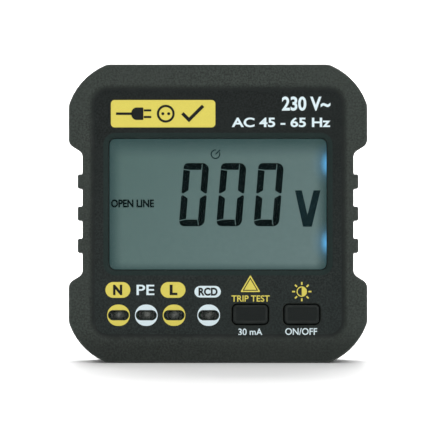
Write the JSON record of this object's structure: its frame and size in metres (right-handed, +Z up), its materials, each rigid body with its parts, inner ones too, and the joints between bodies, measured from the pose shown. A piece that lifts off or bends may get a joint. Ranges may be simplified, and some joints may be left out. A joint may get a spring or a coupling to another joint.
{
  "type": "outlet tester plug",
  "caption": "Square hand-size outlet tester with a large display, indicator windows and push buttons on the front and a round earthed two-pin plug on the back.",
  "frame": {"origin": "centre of the whole part's box in X and Y, on the lower edge that it stands on", "axes": "+X to the right as seen from the display, +Y backwards along the plug's pins, +Z up"},
  "size_m": [0.072, 0.0666, 0.072],
  "materials": {
    "case_plastic": "matte",
    "button_plastic": "satin",
    "window_clear": "gloss",
    "lcd": "satin",
    "lens_clear": "gloss",
    "light_guide": "satin",
    "white_plastic": "matte",
    "contact_rubber": "matte",
    "board": "satin",
    "black_plastic": "matte",
    "resistor_body": "satin",
    "brass": "satin",
    "strap_metal": "satin",
    "screw_steel": "satin",
    "lead_live": "satin",
    "lead_neutral": "satin",
    "lead_earth": "satin",
    "cell_can": "satin",
    "contact_metal": "polished"
  },
  "bodies": {
    "case": {"front_shell": "case_plastic", "rear_shell": "case_plastic", "display_window": "window_clear", "lcd_glass": "lcd", "indicator_lens": "lens_clear", "led_neutral": "lens_clear", "led_earth": "lens_clear", "led_live": "lens_clear", "led_rcd": "lens_clear", "light_guide": "light_guide", "backlight_led_upper": "light_guide", "backlight_led_lower": "light_guide", "lcd_frame": "white_plastic", "pin_retainer": "white_plastic", "contact_strip": "contact_rubber", "circuit_board": "board", "rcd_switch": "black_plastic", "power_switch": "black_plastic", "controller_chip": "black_plastic", "test_triac": "black_plastic", "load_resistor_left": "resistor_body", "load_resistor_right": "resistor_body", "live_pin": "brass", "neutral_pin": "brass", "earth_socket": "brass", "earth_strap": "strap_metal", "retainer_screws": "screw_steel", "case_screws": "screw_steel", "board_screws": "screw_steel", "live_lead": "lead_live", "neutral_lead": "lead_neutral", "earth_lead": "lead_earth", "lower_cell": "cell_can", "upper_cell": "cell_can", "contact_bridge": "contact_metal", "contact_positive": "contact_metal", "contact_negative": "contact_metal", "lower_cell_spring": "contact_metal", "upper_cell_spring": "contact_metal"},
    "rcd_button": {"rcd_button": "button_plastic"},
    "power_button": {"power_button": "button_plastic"},
    "rcd_plunger": {"rcd_plunger": "black_plastic"},
    "power_plunger": {"power_plunger": "black_plastic"},
    "battery_door": {"battery_door": "case_plastic", "door_screws": "screw_steel"}
  },
  "joints": [
    {"name": "rcd_button_press", "type": "slide", "parent": "case", "child": "rcd_button", "axis": [0, 1, 0], "range_m": [0, 0.0005], "stiffness_N_per_m": 1000, "springref_m": -0.0003},
    {"name": "power_button_press", "type": "slide", "parent": "case", "child": "power_button", "axis": [0, 1, 0], "range_m": [0, 0.0005], "stiffness_N_per_m": 1000, "springref_m": -0.0003},
    {"name": "rcd_plunger_press", "type": "slide", "parent": "case", "child": "rcd_plunger", "axis": [0, 1, 0], "range_m": [0, 0.00025]},
    {"name": "power_plunger_press", "type": "slide", "parent": "case", "child": "power_plunger", "axis": [0, 1, 0], "range_m": [0, 0.00025]},
    {"name": "battery_door_off", "type": "slide", "parent": "case", "child": "battery_door", "axis": [0, 1, 0], "range_m": [0, 0.025]}
  ],
  "couplings": [
    {"joint": "rcd_plunger_press", "follows": "rcd_button_press", "ratio": 0.5},
    {"joint": "power_plunger_press", "follows": "power_button_press", "ratio": 0.5}
  ]
}
